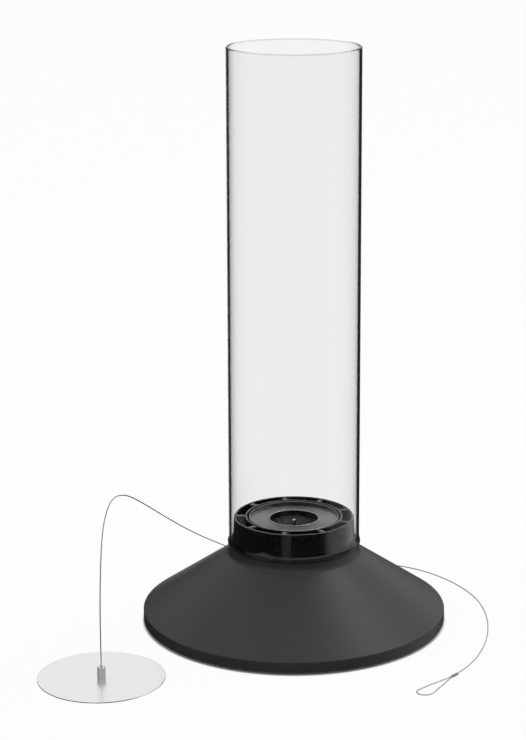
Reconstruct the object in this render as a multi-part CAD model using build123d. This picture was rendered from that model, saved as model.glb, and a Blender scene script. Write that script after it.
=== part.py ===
"""A tabletop fireplace: a low cone on feet, a glass tube on its neck, and a fuel can in its middle.

The can lifts out of its well through the tube, and the tube lifts off its seat. A thin steel disc on a
long stiff cable is let down through the tube to put the flame out, and here it lies on the table beside
the cone. Lengths are in millimetres. Z is up, the table is at zero, and the viewer stands on the -Y side.
"""

import math
import os

from build123d import *

os.makedirs("parts", exist_ok=True)

# Base: a drawn steel shell with an upright lip, a straight cone, a hollow neck fillet and a ledge
BASE_RADIUS = 139.0
LIP_FOOT_Z = 2.0
LIP_TOP_Z = 11.65
LIP_ROUND = 0.9
CONE_SLOPE_DEG = 34.24
NECK_RADIUS = 59.5
NECK_FILLET = 6.0
SHOULDER_ROUND = 1.0
SHELL_WALL = 2.0
GASKET_HEIGHT = 1.0
GLASS_SEAT_Z = 73.3
LEDGE_Z = GLASS_SEAT_Z - GASKET_HEIGHT
AIRWAY_RADIUS = 52.9

# Base plate, the feet under it and the bosses that it is screwed to
PLATE_Z = 3.2
PLATE_THICKNESS = 1.5
PLATE_TOP_Z = PLATE_Z + PLATE_THICKNESS
PLATE_GAP = 0.5
PLATE_SLOTS = 12
PLATE_SLOT_RADIUS = 88.0
PLATE_SLOT_SIZE = (30.0, 7.0)
FOOT_RADIUS = 8.5
FOOT_CHAMFER = 0.6
FOOT_PLACES = ((122.0, 0), (122.0, 90), (122.0, 180), (122.0, 270), (0.0, 0))
BOSS_RADIUS = 5.5
BOSS_PLACE_RADIUS = 118.0
BOSS_ANGLES_DEG = (45, 135, 225, 315)
BOSS_THREAD_RADIUS = 1.7
BOSS_THREAD_DEPTH = 10.0
PLATE_HOLE_RADIUS = 2.2
PLATE_SCREW_RADIUS = 1.65
PLATE_SCREW_HEAD = (3.6, 1.7)
PLATE_SCREW_LENGTH = 9.0
SOCKET_SHARE = 0.8

# Glass tube, with fire-polished ends and a small bead at its foot
GLASS_RADIUS = 60.0
GLASS_WALL = 2.5
GLASS_TOP_Z = 530.0
GLASS_BEAD_RADIUS = 60.9
GLASS_BEAD_HEIGHT = 2.6
GLASS_BEAD_FADE = 2.8
GLASS_BORE = GLASS_RADIUS - GLASS_WALL
GASKET_INNER = 57.4
GASKET_OUTER = 59.9

# Air collar: an outer wall with a flange, an inner ring that the can passes through, and slanted vanes
COLLAR_TOP_Z = 98.9
COLLAR_RIM_RADIUS = 55.1
COLLAR_WAIST_RADIUS = 56.0
COLLAR_WAIST_Z = 80.0
COLLAR_FLANGE_RADIUS = 57.1
COLLAR_FLANGE_HEIGHT = 4.0
COLLAR_RIM_ROUND = 0.6
RING_OUTER = 45.0
RING_INNER = 42.9
RING_STEP_RADIUS = 44.0
RING_STEP_Z = 74.0
RING_FOOT_Z = 66.0
VANES = 9
VANE_FIRST_DEG = 20.0
VANE_WIDTH = 4.0
VANE_DROP = 0.4
VANE_FOOT_Z = 75.0
VANE_LEAN_DEG = 22.0
VANE_BITE = 1.0
COLLAR_SCREWS = 3
COLLAR_SCREW_FIRST_DEG = 60.0
COLLAR_SCREW_PLACE_RADIUS = 54.9
COLLAR_SCREW_RADIUS = 1.2
COLLAR_THREAD_RADIUS = 1.25
COLLAR_HOLE_RADIUS = 1.45
COLLAR_SCREW_HEAD = (2.4, 1.6)
COLLAR_SCREW_DEPTH = 3.4

# Well of the can: a guide tube that hangs from the collar, and a riveted dish on the base plate
GUIDE_WALL = 1.0
GUIDE_FOOT_Z = 15.0
DISH_THICKNESS = 1.0
DISH_BORE = 20.0
DISH_RIM_INNER = 41.2
DISH_RIM_HEIGHT = 6.0
RIVETS = 3
RIVET_PLACE_RADIUS = 31.0
RIVET_RADIUS = 1.5
RIVET_HEAD = (2.8, 1.0)
CAN_FLOOR_Z = PLATE_TOP_Z + DISH_THICKNESS

# Fuel can and what it holds
CAN_RADIUS = 40.3
CAN_WALL = 0.8
CAN_CORNER = 3.0
BURNER_TOP_Z = 95.9
BURNER_RADIUS = 41.3
BURNER_SHEET = 1.0
BURNER_SKIRT_HEIGHT = 8.0
BURNER_EDGE_ROUND = 0.7
MOUTH_RADIUS = 22.0
MOUTH_LIP_RADIUS = 23.4
MOUTH_LIP_RISE = 0.7
THROAT_DEPTH = 5.0
SLEEVE_INNER = 24.2
SLEEVE_WALL = 0.8
SLEEVE_TOP_Z = 90.4
SLEEVE_SLOTS = 72
SLEEVE_SLOT_WIDTH = 1.0
SLEEVE_SLOT_LOW_Z = 30.0
SLEEVE_SLOT_HIGH_Z = 88.0
WOOL_TOP_Z = 90.0
WOOL_GAP = 0.2
ROD_RADIUS = 1.65
ROD_TOP_Z = 95.0
ROD_TIP_ROUND = 0.8
NUT_ACROSS_FLATS = 7.0
NUT_HEIGHT = 3.2

# Snuffer: the disc, the ferrule in its middle, and the cable with its crimped loop
DISC_CENTRE = (-166.55, -143.2)
DISC_RADIUS = 55.5
DISC_THICKNESS = 1.0
DISC_EDGE_ROUND = 0.2
FERRULE_RADIUS = 3.6
FERRULE_TOP_Z = 9.8
FERRULE_EDGE = 0.35
SPIGOT_RADIUS = 1.6
SPIGOT_FOOT_Z = 0.1
CABLE_RADIUS = 0.5
CABLE_SOCKET_Z = 4.3
CRIMP_CENTRE = (139.48, -140.30, 0.95)
CRIMP_HEADING = (-0.628, -0.778, 0.0)
CRIMP_LENGTH = 7.5
CRIMP_SIZE = (3.1, 1.9)
CRIMP_STRAND_OFFSET = 0.55
CRIMP_EDGE = 0.3

# Points that the cable turns at: up from the ferrule, over, down behind the cone, round the table
# to the crimp, and on round the loop back into the crimp
CABLE_ROUTE = [
    (-166.55, -143.2, 4.3),
    (-166.85, -142.9, 39.8),
    (-166.7, -139.8, 77.3),
    (-165.6, -132.6, 113.5),
    (-164.0, -123.5, 133.2),
    (-160.0, -114.0, 147.3),
    (-155.0, -103.5, 151.4),
    (-149.2, -92.0, 148.8),
    (-144.9, -75.0, 141.9),
    (-137.1, -49.0, 128.0),
    (-129.2, -12.0, 108.8),
    (-117.5, 29.0, 85.6),
    (-104.7, 64.0, 64.5),
    (-90.0, 92.0, 46.3),
    (-75.7, 113.5, 32.0),
    (-63.7, 129.5, 20.9),
    (-46.0, 141.5, 13.5),
    (-22.0, 149.0, 7.2),
    (3.0, 152.0, 2.8),
    (30.0, 150.5, 1.0),
    (57.0, 146.5, 0.5),
    (85.0, 139.8, 0.5),
    (113.6, 129.2, 0.5),
    (140.1, 106.5, 0.5),
    (160.3, 76.5, 0.5),
    (175.1, 39.4, 0.5),
    (179.6, -6.7, 0.5),
    (175.9, -50.3, 0.5),
    (165.9, -90.5, 0.5),
    (153.55, -118.5, 0.5),
    (143.45, -134.5, 0.95),
    (134.65, -145.4, 0.95),
    (127.95, -150.7, 0.5),
    (118.65, -158.6, 0.5),
    (109.85, -167.5, 0.5),
    (105.45, -171.7, 0.5),
    (104.15, -177.3, 0.5),
    (108.05, -182.0, 0.5),
    (114.15, -181.7, 0.5),
    (119.25, -177.5, 0.5),
    (123.35, -168.3, 0.5),
    (129.75, -157.1, 0.5),
    (135.85, -145.7, 0.95),
    (142.25, -137.7, 0.95),
]
ARC_SHARE = 0.45


def save(name, shape):
    """Write one piece, or one group of like fasteners, to its own file."""
    shape.label = name
    export_step(shape, f"parts/{name}.step")


def turned(corners, rounds=None):
    """Solid turned about Z from (radius, height) corners; rounds gives a corner's radius by its index."""
    outline = make_face(Polyline(*corners, close=True))
    for index, radius in (rounds or {}).items():
        corner = outline.vertices().sort_by_distance(Vector(*corners[index]))[0]
        outline = fillet(corner, radius)
    return revolve(Plane.XZ * outline, Axis.Z)


def tube(inner, outer, low, high, rounds=None):
    """Ring or tube of plain section about Z."""
    return turned([(inner, low), (outer, low), (outer, high), (inner, high)], rounds)


def upright(radius, low, high):
    """Plain cylinder about Z."""
    return Pos(0, 0, low) * Cylinder(radius, high - low, align=(Align.CENTER, Align.CENTER, Align.MIN))


def hexagon(across_flats, low, high):
    """Upright six-sided bar about Z."""
    outline = RegularPolygon(across_flats / 2, 6, major_radius=False)
    return Pos(0, 0, low) * extrude(outline, high - low)


def around(place_radius, angle_deg):
    """Place on a circle about Z, turned to face outwards."""
    return Rot(0, 0, angle_deg) * Pos(place_radius, 0, 0)


def steps(count, first_deg=0.0):
    """Angles of evenly spaced places on a full circle."""
    return [first_deg + 360.0 * i / count for i in range(count)]


def together(shapes):
    """One compound of the shapes, which stay separate solids."""
    return Compound(children=list(shapes))


def filled_base(inset):
    """The base's form as a full solid, drawn in all over by the inset."""
    slope = math.tan(math.radians(CONE_SLOPE_DEG))
    drop = inset / math.cos(math.radians(CONE_SLOPE_DEG))
    lip = BASE_RADIUS - inset
    neck = NECK_RADIUS - inset
    cone_foot_z = LIP_TOP_Z + inset * slope - drop
    cone_head_z = LIP_TOP_Z + (BASE_RADIUS - neck) * slope - drop
    corners = [
        (0, LIP_FOOT_Z),
        (lip, LIP_FOOT_Z),
        (lip, cone_foot_z),
        (neck, cone_head_z),
        (neck, LEDGE_Z - inset),
        (0, LEDGE_Z - inset),
    ]
    rounds = {3: NECK_FILLET + inset}
    if inset == 0:
        rounds = {2: LIP_ROUND, 3: NECK_FILLET, 4: SHOULDER_ROUND}
    return turned(corners, rounds)


def base_cone():
    """Drawn shell, with the airway through its ledge and holes for the collar's screws."""
    shell = filled_base(0) - filled_base(SHELL_WALL)
    shell -= upright(AIRWAY_RADIUS, LIP_FOOT_Z, LEDGE_Z + 1)
    for angle in steps(COLLAR_SCREWS, COLLAR_SCREW_FIRST_DEG):
        hole = upright(COLLAR_HOLE_RADIUS, LEDGE_Z - 2 * SHELL_WALL, LEDGE_Z + 1)
        shell -= around(COLLAR_SCREW_PLACE_RADIUS, angle) * hole
    return shell


def base_plate():
    """Flat plate that closes the cone, with slots that let the air in."""
    plate = upright(BASE_RADIUS - SHELL_WALL - PLATE_GAP, PLATE_Z, PLATE_TOP_Z)
    length, width = PLATE_SLOT_SIZE
    slot = Pos(0, 0, PLATE_Z) * extrude(SlotOverall(length, width, rotation=90), PLATE_THICKNESS)
    for angle in steps(PLATE_SLOTS, 180 / PLATE_SLOTS):
        plate -= around(PLATE_SLOT_RADIUS, angle) * slot
    for angle in BOSS_ANGLES_DEG:
        hole = upright(PLATE_HOLE_RADIUS, PLATE_Z, PLATE_TOP_Z)
        plate -= around(BOSS_PLACE_RADIUS, angle) * hole
    for angle in steps(RIVETS):
        plate -= around(RIVET_PLACE_RADIUS, angle) * upright(RIVET_RADIUS, PLATE_Z, PLATE_TOP_Z)
    return plate


def foot(place_radius, angle):
    """Rubber foot, glued under the base plate: four near its edge and one under the can."""
    pad = upright(FOOT_RADIUS, 0, PLATE_Z)
    pad = chamfer(pad.edges().group_by(Axis.Z)[0], FOOT_CHAMFER)
    return around(place_radius, angle) * pad


def plate_boss(angle):
    """Post welded under the cone, cut to its slope, with a blind thread for a plate screw."""
    post = upright(BOSS_RADIUS, PLATE_TOP_Z, LEDGE_Z)
    thread = upright(BOSS_THREAD_RADIUS, PLATE_TOP_Z, PLATE_TOP_Z + BOSS_THREAD_DEPTH)
    return around(BOSS_PLACE_RADIUS, angle) * (post - thread) & filled_base(SHELL_WALL)


def pan_screw(shank_radius, head, seat_z, length):
    """Pan-head screw that points up, with its head under the seat and a hexagon socket in the head."""
    head_radius, head_height = head
    cap = upright(head_radius, seat_z - head_height, seat_z)
    cap = fillet(cap.edges().group_by(Axis.Z)[0], 0.4 * head_height)
    socket = hexagon(SOCKET_SHARE * head_radius, seat_z - head_height, seat_z - head_height / 2)
    return cap - socket + upright(shank_radius, seat_z, seat_z + length)


def plate_screws():
    """Screws that hold the base plate to the bosses."""
    screw = pan_screw(PLATE_SCREW_RADIUS, PLATE_SCREW_HEAD, PLATE_Z, PLATE_SCREW_LENGTH)
    return together(around(BOSS_PLACE_RADIUS, angle) * screw for angle in BOSS_ANGLES_DEG)


def collar_screws():
    """Screws that come up through the ledge into the collar's flange."""
    seat_z = LEDGE_Z - SHELL_WALL
    length = SHELL_WALL + COLLAR_SCREW_DEPTH
    screw = pan_screw(COLLAR_SCREW_RADIUS, COLLAR_SCREW_HEAD, seat_z, length)
    angles = steps(COLLAR_SCREWS, COLLAR_SCREW_FIRST_DEG)
    return together(around(COLLAR_SCREW_PLACE_RADIUS, angle) * screw for angle in angles)


def glass_gasket():
    """Flat sealing ring that the glass stands on."""
    return tube(GASKET_INNER, GASKET_OUTER, LEDGE_Z, GLASS_SEAT_Z, {1: 0.3, 2: 0.3})


def glass_tube():
    """Open tube of heat-proof glass, rounded at both ends, with a bead round its foot."""
    bead_top = GLASS_SEAT_Z + GLASS_BEAD_HEIGHT
    corners = [
        (GLASS_BORE, GLASS_SEAT_Z),
        (GLASS_BEAD_RADIUS, GLASS_SEAT_Z),
        (GLASS_BEAD_RADIUS, bead_top),
        (GLASS_RADIUS, bead_top + GLASS_BEAD_FADE),
        (GLASS_RADIUS, GLASS_TOP_Z),
        (GLASS_BORE, GLASS_TOP_Z),
    ]
    end_round = 0.45 * GLASS_WALL
    return turned(corners, {0: 0.8, 1: end_round, 2: 1.2, 3: 2.0, 4: end_round, 5: end_round})


def leaning_vane():
    """One flat vane across the airway, which leans round the axis to set the flame spinning."""
    top_z = COLLAR_TOP_Z - VANE_DROP
    shift = (top_z - VANE_FOOT_Z) * math.tan(math.radians(VANE_LEAN_DEG))
    half = VANE_WIDTH / 2
    section = make_face(
        Polyline(
            (-half, top_z),
            (half, top_z),
            (half + shift, VANE_FOOT_Z),
            (shift - half, VANE_FOOT_Z),
            close=True,
        )
    )
    return extrude(Plane.YZ * section, COLLAR_FLANGE_RADIUS)


def air_collar():
    """Cast collar inside the glass's foot: wall, flange, inner ring and slanted vanes in one piece."""
    wall = turned(
        [
            (AIRWAY_RADIUS, LEDGE_Z),
            (COLLAR_FLANGE_RADIUS, LEDGE_Z),
            (COLLAR_FLANGE_RADIUS, LEDGE_Z + COLLAR_FLANGE_HEIGHT),
            (COLLAR_WAIST_RADIUS, COLLAR_WAIST_Z),
            (COLLAR_RIM_RADIUS, COLLAR_TOP_Z),
            (AIRWAY_RADIUS, COLLAR_TOP_Z),
        ],
        {2: 1.0, 3: 6.0, 4: COLLAR_RIM_ROUND, 5: COLLAR_RIM_ROUND},
    )
    ring = turned(
        [
            (RING_INNER, RING_FOOT_Z),
            (RING_STEP_RADIUS, RING_FOOT_Z),
            (RING_STEP_RADIUS, RING_STEP_Z),
            (RING_OUTER, RING_STEP_Z),
            (RING_OUTER, COLLAR_TOP_Z),
            (RING_INNER, COLLAR_TOP_Z),
        ],
        {4: COLLAR_RIM_ROUND, 5: COLLAR_RIM_ROUND},
    )
    vanes = Part() + [Rot(0, 0, angle) * leaning_vane() for angle in steps(VANES, VANE_FIRST_DEG)]
    vanes &= tube(RING_OUTER - VANE_BITE, AIRWAY_RADIUS + VANE_BITE, VANE_FOOT_Z, COLLAR_TOP_Z)
    collar = wall + ring + vanes
    for angle in steps(COLLAR_SCREWS, COLLAR_SCREW_FIRST_DEG):
        thread = upright(COLLAR_THREAD_RADIUS, LEDGE_Z, LEDGE_Z + COLLAR_SCREW_DEPTH + 0.2)
        collar -= around(COLLAR_SCREW_PLACE_RADIUS, angle) * thread
    return collar


def can_guide():
    """Thin tube pushed over the collar's inner ring, which leads the can down and shields the cone."""
    return tube(RING_STEP_RADIUS, RING_STEP_RADIUS + GUIDE_WALL, GUIDE_FOOT_Z, RING_STEP_Z)


def can_dish():
    """Pressed dish on the base plate that the can stands in."""
    rim_outer = DISH_RIM_INNER + DISH_THICKNESS
    rim_z = PLATE_TOP_Z + DISH_RIM_HEIGHT
    corners = [
        (DISH_BORE, PLATE_TOP_Z),
        (rim_outer, PLATE_TOP_Z),
        (rim_outer, rim_z),
        (DISH_RIM_INNER, rim_z),
        (DISH_RIM_INNER, CAN_FLOOR_Z),
        (DISH_BORE, CAN_FLOOR_Z),
    ]
    dish = turned(corners, {1: 1.2, 2: 0.4, 3: 0.4})
    for angle in steps(RIVETS):
        dish -= around(RIVET_PLACE_RADIUS, angle) * upright(RIVET_RADIUS, PLATE_TOP_Z, CAN_FLOOR_Z)
    return dish


def dish_rivets():
    """Rivets that hold the dish to the base plate, flush on the side of the can."""
    head_radius, head_height = RIVET_HEAD
    head = upright(head_radius, PLATE_Z - head_height, PLATE_Z)
    head = fillet(head.edges().group_by(Axis.Z)[0], 0.5 * head_height)
    rivet = head + upright(RIVET_RADIUS, PLATE_Z, CAN_FLOOR_Z - 0.05)
    return together(around(RIVET_PLACE_RADIUS, angle) * rivet for angle in steps(RIVETS))


def fuel_can():
    """Deep-drawn cup that holds the fuel."""
    inside = CAN_RADIUS - CAN_WALL
    top_z = BURNER_TOP_Z - BURNER_SHEET
    corners = [
        (0, CAN_FLOOR_Z),
        (CAN_RADIUS, CAN_FLOOR_Z),
        (CAN_RADIUS, top_z),
        (inside, top_z),
        (inside, CAN_FLOOR_Z + CAN_WALL),
        (0, CAN_FLOOR_Z + CAN_WALL),
    ]
    return turned(corners, {1: CAN_CORNER, 4: CAN_CORNER - CAN_WALL})


def burner_plate():
    """Pressed cover of the can: skirt, flat top, rolled lip round the mouth and a short throat."""
    under_z = BURNER_TOP_Z - BURNER_SHEET
    skirt_inner = CAN_RADIUS + 0.05
    skirt_z = BURNER_TOP_Z - BURNER_SKIRT_HEIGHT
    throat_outer = MOUTH_RADIUS + BURNER_SHEET
    throat_z = BURNER_TOP_Z - THROAT_DEPTH
    lip_z = BURNER_TOP_Z + MOUTH_LIP_RISE
    corners = [
        (MOUTH_RADIUS, throat_z),
        (throat_outer, throat_z),
        (throat_outer, under_z),
        (skirt_inner, under_z),
        (skirt_inner, skirt_z),
        (BURNER_RADIUS, skirt_z),
        (BURNER_RADIUS, BURNER_TOP_Z),
        (MOUTH_LIP_RADIUS, BURNER_TOP_Z),
        (MOUTH_LIP_RADIUS, lip_z),
        (MOUTH_RADIUS, lip_z),
    ]
    return turned(corners, {6: BURNER_EDGE_ROUND, 8: 0.65, 9: 0.65})


def slotted_sleeve():
    """Sleeve that keeps the wool off the mouth, with upright slots all round."""
    floor_z = CAN_FLOOR_Z + CAN_WALL
    outer = SLEEVE_INNER + SLEEVE_WALL
    sleeve = tube(SLEEVE_INNER, outer, floor_z, SLEEVE_TOP_Z)
    slot_height = SLEEVE_SLOT_HIGH_Z - SLEEVE_SLOT_LOW_Z
    slot = Pos(0, 0, SLEEVE_SLOT_LOW_Z) * Box(
        2 * SLEEVE_WALL,
        SLEEVE_SLOT_WIDTH,
        slot_height,
        align=(Align.CENTER, Align.CENTER, Align.MIN),
    )
    cutters = [around(SLEEVE_INNER + SLEEVE_WALL / 2, angle) * slot for angle in steps(SLEEVE_SLOTS)]
    return sleeve - cutters


def ceramic_wool():
    """Packed ring of ceramic wool that soaks up the fuel."""
    inner = SLEEVE_INNER + SLEEVE_WALL + WOOL_GAP
    outer = CAN_RADIUS - CAN_WALL - WOOL_GAP
    return tube(inner, outer, CAN_FLOOR_Z + CAN_WALL, WOOL_TOP_Z, {1: CAN_CORNER, 2: 1.5, 3: 1.5})


def centre_rod():
    """Upright rod on the can's axis, by which the can is drawn out of its well."""
    rod = upright(ROD_RADIUS, CAN_FLOOR_Z + CAN_WALL, ROD_TOP_Z)
    return fillet(rod.edges().group_by(Axis.Z)[-1], ROD_TIP_ROUND)


def rod_nut():
    """Nut welded to the can's floor, which holds the rod's foot."""
    floor_z = CAN_FLOOR_Z + CAN_WALL
    top_z = floor_z + NUT_HEIGHT
    return hexagon(NUT_ACROSS_FLATS, floor_z, top_z) - upright(ROD_RADIUS, floor_z, top_z)


def snuffer_disc():
    """Thin flat disc that drops onto the collar to smother the flame."""
    disc = tube(SPIGOT_RADIUS, DISC_RADIUS, 0, DISC_THICKNESS, {1: DISC_EDGE_ROUND, 2: DISC_EDGE_ROUND})
    return Pos(*DISC_CENTRE, 0) * disc


def disc_ferrule():
    """Turned ferrule with a riveted spigot below and a socket for the cable above."""
    corners = [
        (0, SPIGOT_FOOT_Z),
        (SPIGOT_RADIUS, SPIGOT_FOOT_Z),
        (SPIGOT_RADIUS, DISC_THICKNESS),
        (FERRULE_RADIUS, DISC_THICKNESS),
        (FERRULE_RADIUS, FERRULE_TOP_Z),
        (CABLE_RADIUS, FERRULE_TOP_Z),
        (CABLE_RADIUS, CABLE_SOCKET_Z),
        (0, CABLE_SOCKET_Z),
    ]
    return Pos(*DISC_CENTRE, 0) * turned(corners, {4: FERRULE_EDGE})


def cable_radii():
    """Radius of the arc at each point of the cable's route, as large as its two runs allow."""
    points = [Vector(*p) for p in CABLE_ROUTE]
    runs = [b - a for a, b in zip(points, points[1:])]
    radii = []
    for before, after in zip(runs, runs[1:]):
        half_turn = math.radians(before.get_angle(after)) / 2
        radii.append(ARC_SHARE * min(before.length, after.length) / math.tan(half_turn))
    return radii


def snuffer_cable():
    """Stiff steel cable, from the ferrule's socket to the end of the loop in the crimp."""
    radii = cable_radii()
    path = FilletPolyline(*CABLE_ROUTE, radius=radii)
    section = Plane(origin=path @ 0, z_dir=path % 0) * Circle(CABLE_RADIUS)
    cable = sweep(section, path=path)
    expected = math.pi * CABLE_RADIUS**2 * path.length
    print("cable radii", [round(radius, 1) for radius in radii])
    print(f"cable length {path.length:.1f}, volume over section times length {cable.volume / expected:.4f}")
    return cable


def crimp_sleeve():
    """Oval sleeve pressed on the two strands of the loop."""
    width, height = CRIMP_SIZE
    heading = Vector(*CRIMP_HEADING).normalized()
    centre = Vector(*CRIMP_CENTRE)
    across = heading.cross(Vector(0, 0, 1))
    end = Plane(origin=centre - heading * (CRIMP_LENGTH / 2), x_dir=across, z_dir=heading)
    body = extrude(end * SlotOverall(width, height), CRIMP_LENGTH)
    body = chamfer(body.edges().filter_by(GeomType.CIRCLE), CRIMP_EDGE)
    for side in (-CRIMP_STRAND_OFFSET, CRIMP_STRAND_OFFSET):
        body -= extrude(end * Pos(side, 0) * Circle(CABLE_RADIUS), CRIMP_LENGTH)
    return body


save("base_cone", base_cone())
save("base_plate", base_plate())
for number, (foot_radius, foot_angle) in enumerate(FOOT_PLACES, 1):
    save(f"foot_{number}", foot(foot_radius, foot_angle))
for number, boss_angle in enumerate(BOSS_ANGLES_DEG, 1):
    save(f"plate_boss_{number}", plate_boss(boss_angle))
save("plate_screws", plate_screws())
save("collar_screws", collar_screws())
save("glass_gasket", glass_gasket())
save("glass_tube", glass_tube())
save("air_collar", air_collar())
save("can_guide", can_guide())
save("can_dish", can_dish())
save("dish_rivets", dish_rivets())
save("fuel_can", fuel_can())
save("burner_plate", burner_plate())
save("slotted_sleeve", slotted_sleeve())
save("ceramic_wool", ceramic_wool())
save("centre_rod", centre_rod())
save("rod_nut", rod_nut())
save("snuffer_disc", snuffer_disc())
save("disc_ferrule", disc_ferrule())
save("snuffer_cable", snuffer_cable())
save("crimp_sleeve", crimp_sleeve())
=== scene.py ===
"""Dresses the tabletop fireplace: black cone, glass tube, burner and snuffer, in metres."""

import math

import bpy
from bpy.props import FloatProperty, FloatVectorProperty, IntProperty, PointerProperty
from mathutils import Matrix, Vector


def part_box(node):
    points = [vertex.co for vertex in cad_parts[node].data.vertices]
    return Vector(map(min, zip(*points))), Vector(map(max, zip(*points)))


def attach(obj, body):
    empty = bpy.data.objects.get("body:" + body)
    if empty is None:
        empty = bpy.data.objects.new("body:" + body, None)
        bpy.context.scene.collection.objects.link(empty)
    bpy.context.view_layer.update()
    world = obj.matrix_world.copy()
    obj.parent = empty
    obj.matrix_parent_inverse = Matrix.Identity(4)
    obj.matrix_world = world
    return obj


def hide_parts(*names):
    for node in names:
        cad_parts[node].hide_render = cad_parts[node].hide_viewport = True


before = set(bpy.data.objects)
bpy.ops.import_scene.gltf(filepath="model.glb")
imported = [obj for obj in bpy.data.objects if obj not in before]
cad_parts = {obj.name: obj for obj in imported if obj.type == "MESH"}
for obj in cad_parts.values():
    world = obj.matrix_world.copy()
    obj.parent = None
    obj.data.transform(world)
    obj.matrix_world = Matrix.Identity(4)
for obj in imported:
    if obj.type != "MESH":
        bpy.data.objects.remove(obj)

bl_info = {
    "name": "Tabletop Fireplace",
    "version": (1, 0, 0),
    "blender": (4, 5, 0),
    "location": "View3D > Sidebar > Fireplace",
    "description": "Models and finishes a tabletop fireplace around its working frame",
    "category": "Add Mesh",
}

MM = 0.001

# Low and high corners of the frame's nodes, in metres
CONE_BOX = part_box("base_cone")
GLASS_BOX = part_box("glass_tube")
COLLAR_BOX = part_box("air_collar")
COVER_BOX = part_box("burner_plate")
CAN_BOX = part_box("fuel_can")
SLEEVE_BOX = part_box("slotted_sleeve")
WOOL_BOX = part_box("ceramic_wool")
ROD_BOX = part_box("centre_rod")
DISC_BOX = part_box("snuffer_disc")
FERRULE_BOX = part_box("disc_ferrule")
CRIMP_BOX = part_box("crimp_sleeve")
GASKET_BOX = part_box("glass_gasket")

# Heights and a centre that the corners give
LIP_FOOT_Z = CONE_BOX[0].z
LEDGE_Z = CONE_BOX[1].z
GLASS_FOOT_Z = GLASS_BOX[0].z
GLASS_TOP_Z = GLASS_BOX[1].z
COLLAR_TOP_Z = COLLAR_BOX[1].z
DISC_CENTRE = (DISC_BOX[0] + DISC_BOX[1]) / 2

# Radii of the cone's foot, of the airway through ledge and collar, and of the hole in the disc
BASE_RADIUS = 139.0 * MM
AIRWAY_RADIUS = 52.9 * MM
DISC_HOLE = 1.6 * MM

# Steps of an outline along arcs and beside the ends of long runs, and limits for doubles and sharp edges
ARC_STEP = 0.5 * MM
SUPPORT_GAP = 0.25 * MM
DOUBLES_GAP = 0.002 * MM
SHARP_ANGLE = math.radians(32.0)

# Points that the cable turns at, from the ferrule to the end of the loop, in metres
CABLE_ROUTE = [
    (-0.16655, -0.1432, 0.0043),
    (-0.16685, -0.1429, 0.0398),
    (-0.1667, -0.1398, 0.0773),
    (-0.1656, -0.1326, 0.1135),
    (-0.1640, -0.1235, 0.1332),
    (-0.1600, -0.1140, 0.1473),
    (-0.1550, -0.1035, 0.1514),
    (-0.1492, -0.0920, 0.1488),
    (-0.1449, -0.0750, 0.1419),
    (-0.1371, -0.0490, 0.1280),
    (-0.1292, -0.0120, 0.1088),
    (-0.1175, 0.0290, 0.0856),
    (-0.1047, 0.0640, 0.0645),
    (-0.0900, 0.0920, 0.0463),
    (-0.0757, 0.1135, 0.0320),
    (-0.0637, 0.1295, 0.0209),
    (-0.0460, 0.1415, 0.0135),
    (-0.0220, 0.1490, 0.0072),
    (0.0030, 0.1520, 0.0028),
    (0.0300, 0.1505, 0.0010),
    (0.0570, 0.1465, 0.0005),
    (0.0850, 0.1398, 0.0005),
    (0.1136, 0.1292, 0.0005),
    (0.1401, 0.1065, 0.0005),
    (0.1603, 0.0765, 0.0005),
    (0.1751, 0.0394, 0.0005),
    (0.1796, -0.0067, 0.0005),
    (0.1759, -0.0503, 0.0005),
    (0.1659, -0.0905, 0.0005),
    (0.15355, -0.1185, 0.0005),
    (0.14345, -0.1345, 0.00095),
    (0.13465, -0.1454, 0.00095),
    (0.12795, -0.1507, 0.0005),
    (0.11865, -0.1586, 0.0005),
    (0.10985, -0.1675, 0.0005),
    (0.10545, -0.1717, 0.0005),
    (0.10415, -0.1773, 0.0005),
    (0.10805, -0.1820, 0.0005),
    (0.11415, -0.1817, 0.0005),
    (0.11925, -0.1775, 0.0005),
    (0.12335, -0.1683, 0.0005),
    (0.12975, -0.1571, 0.0005),
    (0.13585, -0.1457, 0.00095),
    (0.14225, -0.1377, 0.00095),
]


# Sizes and colours that a user would change


class CFP_base_settings(bpy.types.PropertyGroup):
    lip_top: FloatProperty(
        name="Lip height", description="Top of the upright lip", default=11.65 * MM, unit="LENGTH"
    )
    slope: FloatProperty(
        name="Cone slope", description="Slope of the cone", default=math.radians(34.24), subtype="ANGLE"
    )
    neck_radius: FloatProperty(
        name="Neck radius", description="Radius of the neck", default=59.5 * MM, unit="LENGTH"
    )
    neck_fillet: FloatProperty(
        name="Neck fillet", description="Radius of the hollow at the neck", default=6.0 * MM, unit="LENGTH"
    )
    wall: FloatProperty(
        name="Shell wall", description="Thickness of the drawn shell", default=2.0 * MM, unit="LENGTH"
    )
    lacquer: FloatVectorProperty(
        name="Lacquer", description="Colour of the cone", default=(0.0285, 0.0285, 0.029), subtype="COLOR"
    )


class CFP_glass_settings(bpy.types.PropertyGroup):
    radius: FloatProperty(
        name="Glass radius", description="Outer radius of the tube", default=60.0 * MM, unit="LENGTH"
    )
    wall: FloatProperty(
        name="Glass wall", description="Thickness of the tube's wall", default=2.5 * MM, unit="LENGTH"
    )
    tint: FloatVectorProperty(
        name="Glass tint", description="Colour of the glass", default=(0.945, 0.945, 0.945), subtype="COLOR"
    )


class CFP_burner_settings(bpy.types.PropertyGroup):
    mouth_radius: FloatProperty(
        name="Mouth radius", description="Radius of the burner's mouth", default=22.0 * MM, unit="LENGTH"
    )
    vanes: IntProperty(name="Vanes", description="Vanes round the collar", default=9, min=3)
    sleeve_slots: IntProperty(name="Sleeve slots", description="Slots round the sleeve", default=72, min=12)
    steel: FloatVectorProperty(
        name="Burner steel",
        description="Colour of the burner's steel",
        default=(0.20, 0.20, 0.197),
        subtype="COLOR",
    )


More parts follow.
